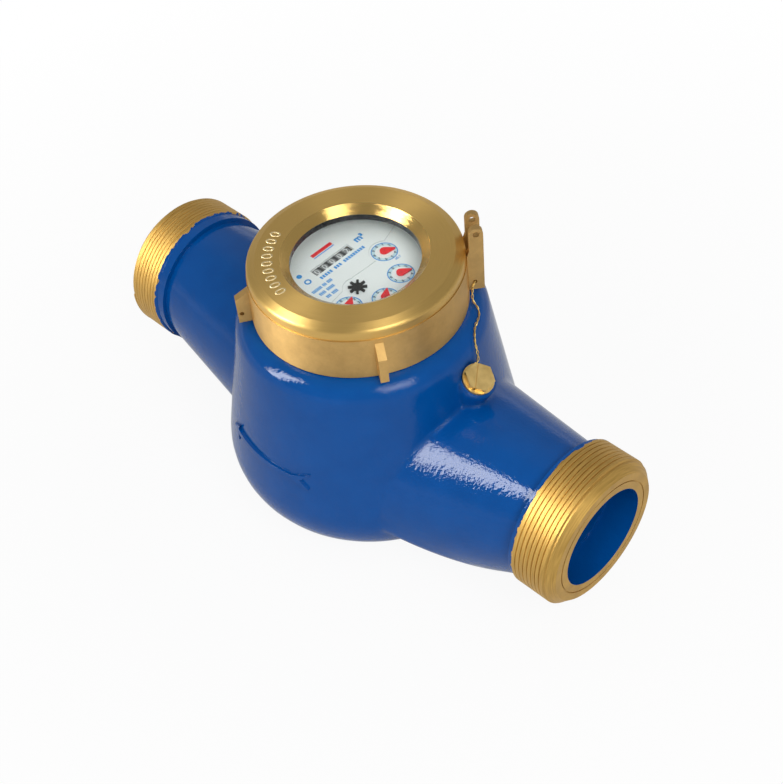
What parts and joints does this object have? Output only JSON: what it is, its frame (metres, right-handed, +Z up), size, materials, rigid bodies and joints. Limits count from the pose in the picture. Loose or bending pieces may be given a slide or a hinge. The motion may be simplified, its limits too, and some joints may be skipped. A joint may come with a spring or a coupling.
{
  "type": "water meter",
  "caption": "Multi-jet water meter with a blue enamelled brass body, threaded pipe ends, a brass head ring and a dry dial with pointers, counter and flow star",
  "frame": {"origin": "middle of the flat bottom, on the axis of the head ring", "axes": "+X along the pipe towards the inlet end, +Y across the pipe, +Z up out of the dial"},
  "size_m": [0.3, 0.151, 0.1554],
  "materials": {
    "blue_enamel": "thick glossy blue coating over the casting; bare brass on the threads and faces",
    "cast_brass": "cast wall with faint upright grain, turned top flat and bevel",
    "machined_brass": "turned",
    "wire_brass": "drawn and twisted",
    "clear_glass": "polished",
    "black_rubber": "matte",
    "white_plastic": "moulded",
    "dial_white": "printed face",
    "grey_plastic": "moulded",
    "ivory_plastic": "moulded",
    "black_plastic": "moulded",
    "red_plastic": "moulded",
    "steel": "drawn or turned",
    "magnet_grey": "sintered",
    "brown_fibre": "pressed fibre"
  },
  "bodies": {
    "meter_body": {"body": "blue_enamel", "head_ring": "cast_brass", "slip_ring": "white_plastic", "glass_lens": "clear_glass", "lens_gasket": "black_rubber", "register_case": "white_plastic", "dial_plate": "dial_white", "dial_screws": "steel", "movement_plate": "grey_plastic", "star_bridge": "grey_plastic", "counter_bracket": "grey_plastic", "drum_axle": "steel", "pinion_axle": "steel", "magnet_shield": "steel", "pressure_plate": "machined_brass", "cover_seal": "black_rubber", "chamber_cover": "white_plastic", "upper_bearing": "steel", "chamber_cup": "white_plastic", "chamber_seal": "black_rubber", "strainer": "grey_plastic", "pivot_pin": "steel", "regulator_plug": "machined_brass", "plug_washer": "brown_fibre", "regulating_screw": "machined_brass", "seal_wire": "wire_brass"},
    "impeller_body": {"impeller": "white_plastic", "drive_magnet": "magnet_grey"},
    "coupling_body": {"coupling_arbor": "ivory_plastic", "follower_magnet": "magnet_grey"},
    "star_body": {"star_wheel": "black_plastic"},
    "worm_body": {"worm_arbor": "ivory_plastic", "counter_worm": "machined_brass"},
    "pointer_body_1": {"pointer_arbor_1": "ivory_plastic", "pointer_hand_1": "red_plastic"},
    "pointer_body_2": {"pointer_arbor_2": "ivory_plastic", "pointer_hand_2": "red_plastic"},
    "pointer_body_3": {"pointer_arbor_3": "ivory_plastic", "pointer_hand_3": "red_plastic"},
    "pointer_body_4": {"pointer_arbor_4": "ivory_plastic", "pointer_hand_4": "red_plastic"},
    "drum_body_1": {"drum_1": "black_plastic"},
    "drum_body_2": {"drum_2": "black_plastic"},
    "drum_body_3": {"drum_3": "black_plastic"},
    "drum_body_4": {"drum_4": "black_plastic"},
    "drum_body_5": {"drum_5": "black_plastic"},
    "pinion_body_1": {"carry_pinion_1": "ivory_plastic"},
    "pinion_body_2": {"carry_pinion_2": "ivory_plastic"},
    "pinion_body_3": {"carry_pinion_3": "ivory_plastic"},
    "pinion_body_4": {"carry_pinion_4": "ivory_plastic"}
  },
  "joints": [
    {"name": "impeller_spin", "type": "hinge", "parent": "meter_body", "child": "impeller_body", "pos_m": [0, 0, 0.06], "axis": [0, 0, 1], "continuous": true},
    {"name": "coupling_spin", "type": "hinge", "parent": "meter_body", "child": "coupling_body", "pos_m": [0, 0, 0.115], "axis": [0, 0, 1], "continuous": true},
    {"name": "star_spin", "type": "hinge", "parent": "meter_body", "child": "star_body", "pos_m": [0.00566, -0.00566, 0.128], "axis": [0, 0, 1], "continuous": true},
    {"name": "pointer_spin_4", "type": "hinge", "parent": "meter_body", "child": "pointer_body_4", "pos_m": [0.0114, -0.01716, 0.118], "axis": [0, 0, 1], "continuous": true},
    {"name": "pointer_spin_3", "type": "hinge", "parent": "meter_body", "child": "pointer_body_3", "pos_m": [0.0205, -0.00201, 0.118], "axis": [0, 0, 1], "continuous": true},
    {"name": "pointer_spin_2", "type": "hinge", "parent": "meter_body", "child": "pointer_body_2", "pos_m": [0.01452, 0.01462, 0.118], "axis": [0, 0, 1], "continuous": true},
    {"name": "pointer_spin_1", "type": "hinge", "parent": "meter_body", "child": "pointer_body_1", "pos_m": [-0.00215, 0.02049, 0.118], "axis": [0, 0, 1], "continuous": true},
    {"name": "worm_spin", "type": "hinge", "parent": "meter_body", "child": "worm_body", "pos_m": [-0.023, 0.01325, 0.118], "axis": [0, 0, 1], "continuous": true},
    {"name": "drum_spin_1", "type": "hinge", "parent": "meter_body", "child": "drum_body_1", "pos_m": [-0.0174, 0.00988, 0.1232], "axis": [0, 1, 0], "continuous": true},
    {"name": "drum_spin_2", "type": "hinge", "parent": "meter_body", "child": "drum_body_2", "pos_m": [-0.0174, 0.00494, 0.1232], "axis": [0, 1, 0], "continuous": true},
    {"name": "pinion_spin_1", "type": "hinge", "parent": "meter_body", "child": "pinion_body_1", "pos_m": [-0.01148, 0.00741, 0.12104], "axis": [0, 1, 0], "continuous": true},
    {"name": "drum_spin_3", "type": "hinge", "parent": "meter_body", "child": "drum_body_3", "pos_m": [-0.0174, 0, 0.1232], "axis": [0, 1, 0], "continuous": true},
    {"name": "pinion_spin_2", "type": "hinge", "parent": "meter_body", "child": "pinion_body_2", "pos_m": [-0.01148, 0.00247, 0.12104], "axis": [0, 1, 0], "continuous": true},
    {"name": "drum_spin_4", "type": "hinge", "parent": "meter_body", "child": "drum_body_4", "pos_m": [-0.0174, -0.00494, 0.1232], "axis": [0, 1, 0], "continuous": true},
    {"name": "pinion_spin_3", "type": "hinge", "parent": "meter_body", "child": "pinion_body_3", "pos_m": [-0.01148, -0.00247, 0.12104], "axis": [0, 1, 0], "continuous": true},
    {"name": "drum_spin_5", "type": "hinge", "parent": "meter_body", "child": "drum_body_5", "pos_m": [-0.0174, -0.00988, 0.1232], "axis": [0, 1, 0], "continuous": true},
    {"name": "pinion_spin_4", "type": "hinge", "parent": "meter_body", "child": "pinion_body_4", "pos_m": [-0.01148, -0.00741, 0.12104], "axis": [0, 1, 0], "continuous": true}
  ],
  "couplings": [
    {"joint": "coupling_spin", "follows": "impeller_spin", "ratio": 1},
    {"joint": "star_spin", "follows": "impeller_spin", "ratio": -0.33333},
    {"joint": "pointer_spin_4", "follows": "impeller_spin", "ratio": 0.033333},
    {"joint": "pointer_spin_3", "follows": "impeller_spin", "ratio": -0.0033333},
    {"joint": "pointer_spin_2", "follows": "impeller_spin", "ratio": 0.00033333},
    {"joint": "pointer_spin_1", "follows": "impeller_spin", "ratio": -0.000033333},
    {"joint": "worm_spin", "follows": "impeller_spin", "ratio": 0.000033333},
    {"joint": "drum_spin_1", "follows": "impeller_spin", "ratio": 0.0000033333},
    {"joint": "drum_spin_2", "follows": "impeller_spin", "ratio": 0.00000033333},
    {"joint": "pinion_spin_1", "follows": "impeller_spin", "ratio": -0.00000083333},
    {"joint": "drum_spin_3", "follows": "impeller_spin", "ratio": 0.000000033333},
    {"joint": "pinion_spin_2", "follows": "impeller_spin", "ratio": -0.000000083333},
    {"joint": "drum_spin_4", "follows": "impeller_spin", "ratio": 0.0000000033333},
    {"joint": "pinion_spin_3", "follows": "impeller_spin", "ratio": -0.0000000083333},
    {"joint": "drum_spin_5", "follows": "impeller_spin", "ratio": 0.00000000033333},
    {"joint": "pinion_spin_4", "follows": "impeller_spin", "ratio": -0.00000000083333}
  ]
}
